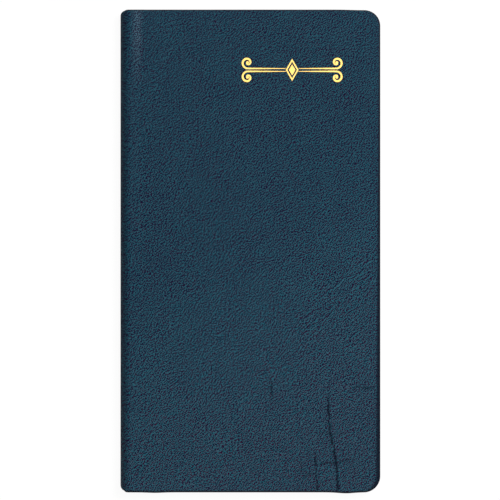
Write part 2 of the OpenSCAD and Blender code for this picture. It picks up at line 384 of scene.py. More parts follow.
# Its slanting wrinkles: height, then wavelength, number, seed and spread of direction
WRINKLES = (0.012, 2.6, 16, 11, 0.5)
TROUGH_X, TROUGH_W, TROUGH_DEPTH = 6.8, 2.0, 0.07  # the hinge beside the back
WANDER = (0.18, 3.0, 8, 71)  # how far the creases wander, then wavelength, number and seed
UNEVEN_CREASE = [(0.3, 4.0, 6, 72), (0.25, 1.3, 8, 73)]  # and how unevenly deep they are
BANK = 0.35  # height of the bank beside a crease, as a share of its depth
BANK_AT = 2.1  # and how many crease widths away it is
DARKEST_DEPTH = 0.16  # a crease this deep gets the full painted shade


def relief(x, y, front):
    """Height of the leather's surface over its even form, and how much painted shade its creases get."""
    h = sum(height * waves(x, y, *form) for height, *form in UNEVEN)
    # the wrinkles are stronger towards the tail and the fore-edge
    lower = smoothstep(-10, 70, x * 0.6 - y)
    h += WRINKLES[0] * (0.35 + lower) * waves(x, y, *WRINKLES[1:])
    # the hinge, where no board is under the leather
    trough = np.exp(-(((x - SPINE_X - TROUGH_X) / TROUGH_W) ** 2))
    h -= TROUGH_DEPTH * trough * (0.6 + 0.4 * np.sin(y / 23.0))
    lines = np.zeros_like(x)
    if front:
        wander = WANDER[0] * waves(x, y, *WANDER[1:])
        uneven = 0.75 + sum(share * waves(x, y, *form) for share, *form in UNEVEN_CREASE)
        for path, width, depth in CREASES:
            gap, along = distance_to_path(x + wander, y, [from_photo(*p) for p in path])
            fade = np.sin(np.pi * np.clip(along, 0.02, 0.98)) ** 0.5 * uneven
            core = fade * np.exp(-((gap / width) ** 2))
            h -= depth * core
            h += BANK * depth * fade * np.exp(-(((gap - BANK_AT * width) / width) ** 2))
            # painted shade in the crease: the deeper the crease, the darker
            lines = np.maximum(lines, core * depth / DARKEST_DEPTH)
    return h - SKIN_SINK, np.clip(lines, 0, 1)


# ---------------- ornament
FOIL_LOW, FOIL_HIGH = node_box("foil_ornament")
ORNAMENT = (FOIL_LOW + FOIL_HIGH) / 2
ORNAMENT_HALF = (FOIL_HIGH - FOIL_LOW) / 2
SKIN_SINK = 0.075  # the leather's mean surface lies this far below the flat form
PRESSED = 0.075  # and the stamp presses it this much further
FOIL_PROUD = 0.03  # the foil's face over the pressed leather
FOIL_T = 0.06
FOIL_EASE = 0.02  # width of the bevel round its face


def near_ornament(x, y, margin):
    """True inside the ornament's rectangle, grown by a margin."""
    return ((np.abs(x - ORNAMENT[0]) < ORNAMENT_HALF[0] + margin)
            & (np.abs(y - ORNAMENT[1]) < ORNAMENT_HALF[1] + margin))


def foil_distance(x, y):
    """Distance in plan from each point to the stamped ornament: 0 inside its outline."""
    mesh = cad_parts["foil_ornament"].data
    corners = np.array([v.co[:2] for v in mesh.vertices]) / MM
    best = np.full(x.shape, 1e9)
    mesh.calc_loop_triangles()
    for triangle in mesh.loop_triangles:
        a, b, c = (corners[v] for v in triangle.vertices)
        area = (b[0] - a[0]) * (c[1] - a[1]) - (b[1] - a[1]) * (c[0] - a[0])
        if abs(area) < 1e-9:
            continue
        inside = np.ones(x.shape, bool)
        for p, q in ((a, b), (b, c), (c, a)):
            d = q - p
            best = np.minimum(best, to_segment(x, y, p, q)[0])
            side = (d[0] * (y - p[1]) - d[1] * (x - p[0])) * np.sign(area)
            inside &= side >= 0
        best = np.where(inside, 0, best)
    return best


def foil_piece(look):
    """The stamped foil: the CAD outline, pressed into the leather, its edges eased."""
    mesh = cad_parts["foil_ornament"].data.copy()
    mesh.name = "gold_ornament"
    middle = (FOIL_LOW[2] + FOIL_HIGH[2]) / 2 * MM
    face = BOOK_T - SKIN_SINK - PRESSED + FOIL_PROUD
    for vertex in mesh.vertices:
        vertex.co.z = (face if vertex.co.z > middle else face - FOIL_T) * MM
    mesh.materials.clear()
    mesh.materials.append(look)
    piece = placed("gold_ornament", mesh)
    tidy(piece, merge=1e-8)
    ease = piece.modifiers.new("eased_edges", "BEVEL")
    ease.width = FOIL_EASE * MM
    ease.segments = 2
    ease.angle_limit = math.radians(60)
    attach(piece, "front_cover")
    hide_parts("foil_ornament")


# ---------------- cover leather
INNER_EDGE_R = 0.25  # rounding of the turned edge on the inside of the cover
BEAD, BEAD_AT, BEAD_W = 0.045, 0.7, 0.55  # low ridge along the fore-edge: height, place, width
PRESS_NEAR, PRESS_FAR = 0.1, 0.8  # the stamp presses the leather down over this distance
SKIN_FADE = 2.5  # the relief comes in over this distance from the outline
SKIN_SPACING = 0.55
FOIL_SPACING = 0.22  # of the skin's points round the ornament
CREASE_SPACING = 0.26
LINING_SPACING = 4.0


def inside_outline(s, y, path):
    """Distance of each point inside the cover's outline, whose fore-edge corners are round."""
    ds, dy = path[:, 0].max() - s, path[:, 1].max() - np.abs(y)
    corner = (ds < CORNER_R) & (dy < CORNER_R)
    return np.where(corner, CORNER_R - np.hypot(CORNER_R - ds, CORNER_R - dy), np.minimum(ds, dy))


def skin_grid(path, spacing):
    """Even points (s, y) inside the cover's outline."""
    s_grid = np.arange(spacing, S_FORE, spacing)
    y_grid = np.arange(-HEAD_Y + spacing, HEAD_Y, spacing)
    s_all, y_all = (g.ravel() for g in np.meshgrid(s_grid, y_grid))
    drop = np.tile([spine_corner_drop(s) for s in s_grid], len(y_grid))
    to_end = path[:, 1].max() - np.abs(y_all) - drop
    keep = np.minimum(inside_outline(s_all, y_all, path), to_end) > spacing * 0.45
    return s_all[keep], y_all[keep]


def front_skin_points(s, y):
    """The skin's points, closer together round the ornament and the creases."""
    x = s - ARC_L + FLAT_START
    keep = ~near_ornament(x, y, 1.2) & ~in_creased(x, y, 0.3)
    points = list(zip(s[keep], y[keep]))
    fx = np.arange(-ORNAMENT_HALF[0] - 1, ORNAMENT_HALF[0] + 1, FOIL_SPACING) + ORNAMENT[0]
    fy = np.arange(-ORNAMENT_HALF[1] - 1, ORNAMENT_HALF[1] + 1, FOIL_SPACING) + ORNAMENT[1]
    points += [(x + ARC_L - FLAT_START, y) for x in fx for y in fy]
    fx = np.arange(CREASED[0][0], min(CREASED[1][0], CREASED_END), CREASE_SPACING)
    fy = np.arange(max(CREASED[0][1], -HEAD_Y + 1.2), CREASED[1][1], CREASE_SPACING)
    gx, gy = (g.ravel() for g in np.meshgrid(fx, fy))
    clear = clear_of_corner(FORE_X - gx, HEAD_Y + gy, 2)
    return points + list(zip(gx[clear] + ARC_L - FLAT_START, gy[clear]))


def skin_relief(s, y, path, front):
    """How far each point of the skin is raised, and how much painted shade its crease gets."""
    x = outer_profile(s)[0]
    inside = inside_outline(s, y, path)
    h, lines = relief(x, y, front)
    h *= smoothstep(0.0, SKIN_FADE, inside) * smoothstep(0.0, SKIN_FADE, s)
    from_fore = path[:, 0].max() - s
    bead = np.exp(-(((from_fore - BEAD_AT) / BEAD_W) ** 2))
    h += BEAD * bead * smoothstep(0, 0.3, from_fore)
    if front:
        near = near_ornament(x, y, 2.0)
        pressed = 1 - smoothstep(PRESS_NEAR, PRESS_FAR, foil_distance(x[near], y[near]))
        h[near] = h[near] * (1 - pressed) - pressed * (SKIN_SINK + PRESSED)
    return np.minimum(h, -0.002 * (inside > 0.01)), lines


def edge_rings():
    """Rings round the head, fore-edge and tail, from the skin round to the board's upper edge.

    Each is an inset from the outline, an inset times the turned edge's width, a depth, and the
    share of the cover's thickness that is added to the depth.
    """
    turned = [(0.0, bevel, depth, 0.0) for bevel, depth in EDGE_PROFILE]
    inner = [(INNER_EDGE_R * (1 - math.cos(t)), 0.0, -INNER_EDGE_R * (1 - math.sin(t)), 1.0)
             for t in np.linspace(0, math.pi / 2, 4)]
    turn_in = [(TURN_IN * k, 0.0, 0.0, 1.0) for k in (0.3, 0.7, 1.0)]
    under = [(TURN_IN, 0.0, -LEATHER_T, 1.0), (LEATHER_T, 0.0, -LEATHER_T, 1.0),
             (LEATHER_T, EDGE_BEVEL, LEATHER_T, 0.0)]
    return turned + inner + turn_in + under


def cover_leather(name, look, body, stands_for, front):
    """The leather of one half of the case: skin, turned edges and turn-ins, as one closed sheet."""
    rings = edge_rings()
    paths = [cover_path(inset, bevel) for inset, bevel, *_ in rings]
    points, faces = [], []
    for (_, _, depth, share), path in zip(rings, paths):
        thick = cover_depth(path[:, 0])
        points.append(case_point(path[:, 0], path[:, 1], depth + share * thick))
    count = len(paths[0])
    for i in range(len(rings) - 1):
        for k in range(count - 1):
            a = i * count + k
            faces.append((a, a + 1, a + count + 1, a + count))
    edge_count = len(rings) * count
    # the skin
    s, y = skin_grid(paths[0], SKIN_SPACING)
    loose = front_skin_points(s, y) if front else list(zip(s, y))
    flat, triangles = triangulated(paths[0], loose)
    s, y = flat[:, 0], flat[:, 1]
    skin = case_point(s, y, 0.0)
    h, lines = skin_relief(s, y, paths[0], front)
    _, _, nx, nz = outer_profile(s)
    skin[:, 0] += h * nx
    skin[:, 2] += h * nz
    points.append(skin)
    faces.extend(tuple(edge_count + v for v in f) for f in triangles)
    # its underside, over the board
    flat, triangles = triangulated(paths[-1], list(zip(*skin_grid(paths[-1], LINING_SPACING))))
    points.append(case_point(flat[:, 0], flat[:, 1], LEATHER_T))
    faces.extend(tuple(edge_count + len(skin) + v for v in f) for f in triangles)
    points = np.concatenate(points)
    on_side(points, front)
    outer_count = len(EDGE_PROFILE) * count
    # painted shade: full on the outer turned edges, half on the cover's inner edge and turn-ins, and in
    # the creases by their depth
    dark = np.zeros(len(points))
    dark[:outer_count] = np.repeat(EDGE_PAINTED_SHADE, count)
    dark[outer_count:edge_count] = 0.5
    dark[edge_count:edge_count + len(lines)] = lines
    mesh_piece(name, points, faces, look, body, "leather", stands_for, 50, painted_shade=dark,
               merge=2e-6, fill=True)


# ---------------- materials
def empty_tree(owner):
    owner.use_nodes = True
    owner.node_tree.nodes.clear()
    return owner.node_tree


def feed(tree, socket, value):
    """Gives an input a number, a vector, a colour or another node's output."""
    if isinstance(value, bpy.types.NodeSocket):
        tree.links.new(value, socket)
    else:
        socket.default_value = (*value, 1.0) if socket.type == "RGBA" else value


def settings(tree, node, **values):
    """Feeds a node's inputs by name: From_Min is the input "From Min"."""
    for name, value in values.items():
        feed(tree, node.inputs[name.replace("_", " ")], value)
    return node


def new_node(tree, kind, **values):
    return settings(tree, tree.nodes.new("ShaderNode" + kind), **values)


def material(name):
    made = bpy.data.materials.new(name)
    tree = empty_tree(made)
    shader = new_node(tree, "BsdfPrincipled")
    new_node(tree, "OutputMaterial", Surface=shader.outputs["BSDF"])
    return made, tree, shader


def math_node(tree, operation, a, b=None):
    made = new_node(tree, "Math")
    made.operation = operation
    for socket, value in zip(made.inputs, (a, b)):
        if value is not None:
            feed(tree, socket, value)
    return made.outputs[0]


def arithmetic(tree):
    """Functions that add, subtract and multiply two sockets or numbers."""
    kinds = "ADD", "SUBTRACT", "MULTIPLY"
    return [lambda a, b, kind=kind: math_node(tree, kind, a, b) for kind in kinds]


def mix_colour(tree, share, a, b, blend="MIX"):
    made = new_node(tree, "Mix")
    made.data_type = "RGBA"
    made.blend_type = blend
    for i, value in ((0, share), (6, a), (7, b)):
        feed(tree, made.inputs[i], value)
    return made.outputs[2]


def ramp(tree, socket, low, high):
    """0 below low, 1 above high, smooth between."""
    made = new_node(tree, "MapRange", From_Min=low, From_Max=high, Value=socket)
    made.interpolation_type = "SMOOTHSTEP"
    return made.outputs["Result"]


def axes(tree, vector):
    return new_node(tree, "SeparateXYZ", Vector=vector).outputs


def object_place(tree, turn=0.0, stretch=(1.0, 1.0, 1.0)):
    """Object coordinates in millimetres along axes turned about Z, with features stretched."""
    mapped = new_node(tree, "Mapping", Vector=new_node(tree, "TexCoord").outputs["Object"],
                      Rotation=(0.0, 0.0, math.radians(turn)), Scale=[k * MM for k in stretch])
    mapped.vector_type = "TEXTURE"
    return mapped.outputs["Vector"]


def noise(tree, place, scale, detail=3.0, roughness=0.5, distortion=0.0):
    made = new_node(tree, "TexNoise", Vector=place, Scale=scale, Detail=detail,
                    Roughness=roughness, Distortion=distortion)
    return made.outputs["Fac"]


def bump(tree, shader, height, strength, distance):
    made = new_node(tree, "Bump", Strength=strength, Distance=distance * MM, Height=height)
    settings(tree, shader, Normal=made.outputs["Normal"])


LEATHER_SHADED_SIDE = (0.003, 0.0012, 0.020)  # painted shade, on the shaded side of each pit and fold of the grain
LEATHER_LIT_SIDE = (0.012, 0.0965, 0.135)  # painted light, on the lit side of each pit and fold
LEATHER_PLUM = (0.028, 0.0, 0.002)  # fine stain, added
LEATHER_SHEEN = (0.05, 0.06, 0.075)  # painted sheen beside the back near the head, added
LEATHER_SHADE = (0.003, 0.006, 0.015)  # painted shade on the turned edges, the cover's inside and in the creases
LOWER = (-20.0, 95.0)  # the grain grows bolder between these distances towards the tail
# The grain's pits: direction in degrees, length for width, fineness and share
PITS = ((50, 2.3, 2.9, 0.85), (-25, 1.2, 3.4, 0.8))
PIT_STEP = 0.32
FOLD_TURN, FOLD_LONG, FOLD_STEP, FOLD_W = 42, 4.0, 0.4, 0.032
# Most folds lie in one slanting band that ends at the fore-edge: slope, height, half width
BAND_SLOPE, BAND_Y, BAND_HALF = 0.75, -39.0, (2.0, 11.0)
BAND_X = (4.0, 26.0)  # the band comes in between these
BAND_FOLDS, OTHER_FOLDS = 0.65, 0.07
BROAD = 0.22  # share of the broad, cloudy tone
# painted sheen: its place across, its half width, and the heights over which it comes in
SHEEN_X, SHEEN_HALF, SHEEN_Y = -38.6, (0.2, 2.5), (50.0, 80.0)


def stepped(tree, place, step):
    """The place, and the place a step (in millimetres) further across it."""
    aside = new_node(tree, "VectorMath")
    for socket, value in zip(aside.inputs, (place, (0.0, step, 0.0))):
        feed(tree, socket, value)
    return place, aside.outputs[0]


def wrinkles(tree, place):
    """1 along the bottoms of long wrinkles, 0 away from them."""
    drift = noise(tree, place, 0.4, detail=2.0, roughness=0.55, distortion=0.5)
    line = math_node(tree, "ABSOLUTE", math_node(tree, "SUBTRACT", drift, 0.5))
    return math_node(tree, "SUBTRACT", 1.0, ramp(tree, line, 0.0, FOLD_W))


def leather_material():
    """Navy leather: fine grain in diagonal rows, with painted light and shade: teal on the lit side of
    each pit and fold, dark purple on the shaded side.
    """
    made, tree, shader = material("navy_leather")
    even = object_place(tree)
    x, y, _ = axes(tree, even)
    plus, minus, times = arithmetic(tree)

    def within(socket, half):
        """1 near 0, falling to 0 between the two distances of half."""
        return minus(1.0, ramp(tree, math_node(tree, "ABSOLUTE", socket), *half))

    # the grain is bolder towards the tail and the fore-edge, and its colour lighter there: partly painted
    # light that evens out the key lamp, which lights the head more
    lower = ramp(tree, minus(times(x, 0.8), y), *LOWER)
    bold_and_lighter = plus(times(ramp(tree, minus(times(x, 0.5), y), *LOWER), 0.6), 0.83)
    contrast = plus(times(lower, 1.3), 1.3)
    # painted light and shade: each pit and fold gets a shaded and a lit side in its colour, from a height
    # less the same height a step away
    fine = 0.0
    for turn, long, scale, share in PITS:
        place = object_place(tree, turn=turn, stretch=(long, 1.0, 1.0))
        here, aside = (noise(tree, p, scale, detail=0.0) for p in stepped(tree, place, PIT_STEP))
        fine = plus(times(minus(here, aside), share), fine)
    place = object_place(tree, turn=FOLD_TURN, stretch=(FOLD_LONG, 1.0, 1.0))
    here, aside = (wrinkles(tree, p) for p in stepped(tree, place, FOLD_STEP))
    patches = ramp(tree, noise(tree, even, 0.035, detail=1.0), 0.4, 0.6)
    band = within(plus(minus(y, times(x, BAND_SLOPE)), -BAND_Y), BAND_HALF)
    band = times(band, times(ramp(tree, x, *BAND_X), BAND_FOLDS))
    folds = times(minus(aside, here), plus(times(patches, OTHER_FOLDS), band))
    broad = times(noise(tree, even, 0.13, detail=4.0, roughness=0.65), BROAD)
    grain = plus(plus(plus(times(fine, contrast), folds), broad), 0.5 - BROAD / 2)
    # the share of painted light, with the broad tone, in the colour
    shade_and_tone = times(ramp(tree, grain, 0.33, 0.67), bold_and_lighter)
    colour = mix_colour(tree, shade_and_tone, LEATHER_SHADED_SIDE, LEATHER_LIT_SIDE)
    stain = noise(tree, object_place(tree, turn=20, stretch=(1.2, 1.0, 1.0)), 2.9, detail=0.0)
    plum = times(ramp(tree, stain, 0.38, 0.62), minus(bold_and_lighter, 0.4))
    colour = mix_colour(tree, plum, colour, LEATHER_PLUM, "ADD")
    # painted sheen: a lighter streak beside the back, near the head
    beside = within(plus(x, -SHEEN_X), SHEEN_HALF)
    painted_sheen = times(times(beside, ramp(tree, y, *SHEEN_Y)), shade_and_tone)
    colour = mix_colour(tree, painted_sheen, colour, LEATHER_SHEEN, "ADD")
    # painted shade on the turned edges, the cover's inside and in the creases, read from the mesh
    edge = new_node(tree, "Attribute")
    edge.attribute_name = "painted_shade"
    colour = mix_colour(tree, times(edge.outputs["Fac"], 0.9), colour, LEATHER_SHADE)
    settings(tree, shader, Base_Color=colour, Roughness=plus(times(grain, -0.2), 0.72),
             Specular_IOR_Level=0.04)
    bump(tree, shader, times(grain, minus(bold_and_lighter, 0.6)), 1.0, 0.06)
    return made


def foil_material():
    made, tree, shader = material("gold_foil")
    even = object_place(tree)
    wear = noise(tree, even, 2.2, detail=3.0, roughness=0.6)
    pores = noise(tree, even, 7.0, detail=2.0)
    colour = mix_colour(tree, ramp(tree, wear, 0.3, 0.7), (0.72, 0.45, 0.10), (0.82, 0.57, 0.155))
    plus, _, times = arithmetic(tree)
    rough = plus(times(wear, 0.2), 0.32)
    settings(tree, shader, Base_Color=colour, Metallic=0.55, Roughness=rough)
    bump(tree, shader, pores, 0.25, 0.02)
    return made


def speckled_material(name, dark, light, rough, grain, mixed=(0.3, 0.7), lengthwise=1.0,
                      relief=None, **more):
    """Two colours mixed by noise. grain is its fineness, detail and roughness."""
    made, tree, shader = material(name)
    scale, detail, harsh = grain
    pattern = noise(tree, object_place(tree, stretch=(1.0, lengthwise, 1.0)), scale, detail, harsh)
    colour = mix_colour(tree, ramp(tree, pattern, *mixed), dark, light)
    settings(tree, shader, Base_Color=colour, Roughness=rough, **more)
    if relief:
        bump(tree, shader, pattern, *relief)
    return made


def paper_material(name, base, ruled=False):
    made, tree, shader = material(name)
    even = object_place(tree)
    fibre = noise(tree, object_place(tree, turn=20, stretch=(1, 3, 1)), 1.8, detail=4.0, roughness=0.6)
    cloud = noise(tree, even, 0.12, detail=3.0, roughness=0.6)
    darker = tuple(c * 0.93 for c in base)
    colour = mix_colour(tree, ramp(tree, fibre, 0.35, 0.7), darker, base)
    warmer = (base[0], base[1] * 0.975, base[2] * 0.93)
    warmth = math_node(tree, "MULTIPLY", ramp(tree, cloud, 0.4, 0.7), 0.6)
    colour = mix_colour(tree, warmth, colour, warmer)
    if ruled:
        colour = ruled_lines(tree, even, colour)
    settings(tree, shader, Base_Color=colour, Roughness=0.86, Specular_IOR_Level=0.2)
    bump(tree, shader, fibre, 0.3, 0.02)
    return made


LINE_PITCH = 7.2
LINE_W = 0.16
HEAVY_W = 2.6 * LINE_W  # the line between two entries
BLOCK_LINES = 4
COLUMN_X = 12.0
RULED_X = (-37.5, 33.2)
RULED_Y = (-70.0, 66.0)
RULE_BLUE, RULE_SHARE = (0.33, 0.42, 0.5), 0.75


def ruled_lines(tree, place, colour):
    """Address entries on the leaves: fine rules in blocks of four, and a column line."""
    x, y, _ = axes(tree, place)
    _, minus, times = arithmetic(tree)

    def between(socket, low, high):
        above = math_node(tree, "GREATER_THAN", socket, low)
        return times(above, math_node(tree, "LESS_THAN", socket, high))

    def every(pitch, width):
        place_in_pitch = math_node(tree, "MODULO", minus(RULED_Y[1], y), pitch)
        return math_node(tree, "LESS_THAN", place_in_pitch, width)

    thin, heavy = every(LINE_PITCH, LINE_W), every(LINE_PITCH * BLOCK_LINES, HEAVY_W)
    drawn = math_node(tree, "MAXIMUM", math_node(tree, "MAXIMUM", thin, heavy),
                      between(x, COLUMN_X, COLUMN_X + LINE_W))
    # none outside the ruled area, or on the cut edges, which face sideways
    normal_z = axes(tree, new_node(tree, "TexCoord").outputs["Normal"])[2]
    facing = math_node(tree, "GREATER_THAN", math_node(tree, "ABSOLUTE", normal_z), 0.7)
    mask = times(times(drawn, times(between(x, *RULED_X), between(y, *RULED_Y))), facing)
    return mix_colour(tree, times(mask, RULE_SHARE), colour, RULE_BLUE)


LEATHER = leather_material()
FOIL = foil_material()
ENDPAPER = paper_material("cream_endpaper", (0.8, 0.755, 0.64))
LEAVES = paper_material("ruled_leaves", (0.86, 0.84, 0.755), ruled=True)
LINER = paper_material("liner_card", (0.5, 0.44, 0.33))
BOARD = speckled_material("grey_board", (0.23, 0.17, 0.105), (0.4, 0.31, 0.2), 0.92,
                          (1.1, 5.0, 0.7), mixed=(0.4, 0.65), relief=(0.4, 0.05))
TAB = speckled_material("laminated_tab", (0.026, 0.07, 0.115), (0.036, 0.09, 0.14), 0.3,
                        (2.6, 2.0, 0.5), relief=(0.15, 0.02), Coat_Weight=0.4)
THREAD = speckled_material("waxed_thread", (0.52, 0.47, 0.36), (0.8, 0.75, 0.63), 0.7,
                           (9.0, 3.0, 0.6), lengthwise=0.4, relief=(0.5, 0.03))
INK = speckled_material("tab_letter_ink", (0.74, 0.72, 0.64), (0.86, 0.84, 0.77), 0.45,
                        (5.0, 2.0, 0.5))


def dress(node_name, look):
    """A carried-over CAD node gets its finished material."""
    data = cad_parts[node_name].data
    data.materials.clear()
    data.materials.append(look)


# ---------------- endpapers
def paper_sheet(name, outline, spacing, height, thickness, look, body, node_name, flipped):
    """A sheet of paper over a plan outline; height(x, y) is its upper side."""
    low, high = outline.min(0), outline.max(0)
    x, y = (g.ravel() for g in np.meshgrid(np.arange(low[0] + spacing, high[0], spacing),
                                           np.arange(low[1] + spacing, high[1], spacing)))
    from_fore, from_end = high[0] - x, high[1] - np.abs(y)
    keep = clear_of_corner(from_fore, from_end, 1)
    keep &= (from_fore > spacing / 2) & (from_end > spacing / 2)
    flat, triangles = triangulated(outline, list(zip(x[keep], y[keep])))
    top = height(flat[:, 0], flat[:, 1])
    upper = np.column_stack([flat, top])
    lower = np.column_stack([flat, top - thickness])
    count, rim = len(flat), len(outline)
    faces = list(triangles) + [tuple(count + v for v in reversed(f)) for f in triangles]
    faces += [(i, count + i, count + (i + 1) % rim, (i + 1) % rim) for i in range(rim)]
    points = np.concatenate([upper, lower])
    if flipped:
        points[:, 2] = BOOK_T - points[:, 2]
    mesh_piece(name, points, faces, look, body, "endpaper", [node_name], 50)


def dense_outline(x0, x1, y1, radius, step=1.5):
    """Outline of a sheet with round fore-edge corners, with points along its sides."""
    corners = (arc(x1 - radius, -y1 + radius, radius, 270, 360, 12)
               + arc(x1 - radius, y1 - radius, radius, 0, 90, 12) + [(x0, y1), (x0, -y1)])
    points = []
    for a, b in zip(corners, corners[1:] + corners[:1]):
        a, b = np.array(a), np.array(b)
        pieces = max(1, int(np.hypot(*(b - a)) / step))
        points += [a + (b - a) * k / pieces for k in range(pieces)]
    return np.array(points)


# The window between the turn-ins, into which the pastedown is pressed, and how softly
WINDOW_X = (BOARD_LOW[0] + 0.1, FORE_X - TURN_IN - 0.1)
WINDOW_Y = HEAD_Y - TURN_IN - 0.1
WINDOW_SOFT = 0.35
PAPER_SUNK = 0.02  # under the place of the CAD sheet's upper side
GLUE = 0.006  # unevenness of the pasted paper
HINGE_PRESS, HINGE_AT, HINGE_HALF = 0.7, 2.6, 1.1


def pastedown_height(x, y):
    """Upper side of the front pastedown: pressed over the turn-ins' edges and into the hinge."""
    into = smoothstep(WINDOW_X[0], WINDOW_X[0] + WINDOW_SOFT, x)
    into *= 1 - smoothstep(WINDOW_X[1] - WINDOW_SOFT, WINDOW_X[1], x)
    across = 1 - smoothstep(WINDOW_Y - WINDOW_SOFT, WINDOW_Y, np.abs(y))
    hinge = np.exp(-(((x - BOARD_LOW[0] + HINGE_AT) / HINGE_HALF) ** 2)) * HINGE_PRESS
    glue = GLUE * waves(x, y, 9, 8, 21)
    return INNER_Z + across * (into * (LEATHER_T - PAPER_SUNK) + hinge) + glue - PAPER_SUNK


FLY_WAVE = 0.008


def flyleaf_height(top):
    return lambda x, y: top - FLY_WAVE + FLY_WAVE * waves(x, y, 30, 6, 33) * smoothstep(-42, -30, x)


# ---------------- leaves, tabs and thread
LEAF_LOW, LEAF_HIGH = node_box("leaves_ab")
PAGE_X, PAGE_Y = LEAF_HIGH[0], LEAF_HIGH[1]
SECTION_T = LEAF_HIGH[2] - LEAF_LOW[2]
STEP_H = 2 * PAGE_Y / len(INDEX)
PAGE_CORNER_R = CORNER_R - (FORE_X - PAGE_X)
STEP_R = 1.6
TAB_INSET = 0.35
CUT_X = node_box("tab_ab")[0][0] - TAB_INSET
SHEETS = 4  # folded sheets in a section
SHEET_T = 0.97 * SECTION_T / (2 * SHEETS)
UNTRIMMED = 0.008  # spread of where the sheets are cut
FOLD_STEPS = 6


def leaf_outline(j, x_start, trim):
    """Plan outline of a leaf of index section j, anticlockwise from the tail at the fold."""
    x1, y1 = PAGE_X - trim[0], PAGE_Y - trim[1]
    y_step = PAGE_Y - STEP_H * (j + 1) + trim[2]
    head = arc(x1 - PAGE_CORNER_R, y1 - PAGE_CORNER_R, PAGE_CORNER_R, 0, 90, 12)
    if j == len(INDEX) - 1:
        tail = arc(x1 - PAGE_CORNER_R, -y1 + PAGE_CORNER_R, PAGE_CORNER_R, 270, 360, 12)
    else:
        cut = CUT_X - trim[0]
        tail = [(cut, -y1), (cut, y_step)] + arc(x1 - STEP_R, y_step + STEP_R, STEP_R, 270, 360, 8)
    return [(x_start, -y1)] + tail + head + [(x_start, y1)]


def leaves_piece(j, pair):
    """One sewn gathering: folded sheets nested in each other, each trimmed a hair differently."""
    low, high = node_box(f"leaves_{pair}")
    mid, half = (low[2] + high[2]) / 2, SECTION_T / 2
    x_start = low[0] + half
    points, faces = [], []
    for k in range(SHEETS):
        outer = half - k * half / SHEETS
        inner = outer - SHEET_T
        trim = np.abs(RNG.normal(0, UNTRIMMED, 3))
        loop = leaf_outline(j, x_start, trim)
        n = len(loop)
        base = len(points)
        for z in (mid + outer, mid + inner, mid - inner, mid - outer):
            points += [(x, y, z) for x, y in loop]
        for first, second in ((0, 1), (2, 3)):
            faces.append(tuple(base + first * n + i for i in range(n)))
            faces.append(tuple(base + second * n + i for i in reversed(range(n))))
            for i in range(n - 1):
                a, b = base + first * n + i, base + second * n + i
                faces.append((a, b, b + 1, a + 1))
        # the fold: rings of outer and inner points at both ends of the sheet
        y1 = loop[-1][1]
        rings = []
        for step in range(FOLD_STEPS + 1):
            turn = math.pi / 2 + math.pi * step / FOLD_STEPS
            ring = []
            for r in (outer, inner):
                for y in (y1, -y1):
                    ring.append(len(points))
                    points.append((x_start + r * math.cos(turn), y, mid + r * math.sin(turn)))
            rings.append(ring)
        for a, b in zip(rings, rings[1:]):
            faces += [(a[0], b[0], b[1], a[1]), (a[2], a[3], b[3], b[2]),
                      (a[0], a[2], b[2], b[0]), (a[1], b[1], b[3], a[3])]
    mesh_piece(f"gathering_{pair}", points, faces, LEAVES, f"section_{pair}", "leaves",
               [f"leaves_{pair}"], 35, merge=5e-7)


TAB_R = 0.5
BORDER = (0.42, 0.54)  # the printed border's outer and inner insets
PRINT_LIFT, PRINT_SUNK = 0.008, 0.01  # the print's upper and lower sides, from the tab's face
LETTER_H, LETTER_PITCH = 3.1, 4.6  # the largest that a tab's letters are
LETTER_MARGIN = 2.0  # both ends of a tab together


def tab_piece(j, pair):
    """A laminated index tab with its print."""
    low, high = node_box(f"tab_{pair}")
    tail_r = PAGE_CORNER_R if j == len(INDEX) - 1 else STEP_R
    head_r = PAGE_CORNER_R if j == 0 else TAB_R

    def outline(inset):
        x0, y0, x1, y1 = low[0] + inset, low[1] + inset, high[0] - inset, high[1] - inset
        rt, rh, ri = (max(r - inset, 0.1) for r in (tail_r, head_r, TAB_R))
        return (arc(x0 + ri, y0 + ri, ri, 180, 270, 5) + arc(x1 - rt, y0 + rt, rt, 270, 360, 10)
                + arc(x1 - rh, y1 - rh, rh, 0, 90, 10) + arc(x0 + ri, y1 - ri, ri, 90, 180, 5))

    top = high[2]
    levels = [(0, low[2]), (0, top - 0.03), (0.015, top - 0.01), (0.05, top)]
    points, faces = stacked([[(x, y, z) for x, y in outline(inset)] for inset, z in levels])
    mesh_piece(f"index_tab_{pair}", points, faces, TAB, f"section_{pair}", "tab",
               [f"tab_{pair}"], 60)
    tab_print(pair, low, high, [outline(inset) for inset in BORDER])


def tab_print(pair, low, high, loops):
    """The printed border, a ring standing a hair over the tab, and the letters inside it."""
    z0, z1 = high[2] - PRINT_SUNK, high[2] + PRINT_LIFT
    n = len(loops[0])
    points = [(x, y, z) for loop in loops for z in (z0, z1) for x, y in loop]
    faces = []
    for i in range(n):
        k = (i + 1) % n
        faces += [(n + i, n + k, 3 * n + k, 3 * n + i), (i, k, n + k, n + i),
                  (2 * n + i, 3 * n + i, 3 * n + k, 2 * n + k), (i, 2 * n + i, 2 * n + k, k)]
    letters = {"wz": "WXYZ"}.get(pair, pair.upper())
    middle = (low + high) / 2
    room = (high[1] - low[1] - LETTER_MARGIN) / len(letters)
    size = min(LETTER_H, room * 0.8)
    for i, letter in enumerate(letters):
        at_y = middle[1] + ((len(letters) - 1) / 2 - i) * min(room, LETTER_PITCH)
        new_points, new_faces = letter_mesh(letter, middle[0], at_y, size, z0, z1)
        shift = len(points)
        points += new_points
        faces += [tuple(shift + v for v in f) for f in new_faces]
    mesh_piece(f"tab_print_{pair}", points, faces, INK, f"section_{pair}")


CAP_SHARE = 0.72  # height of a capital in a font of size 1


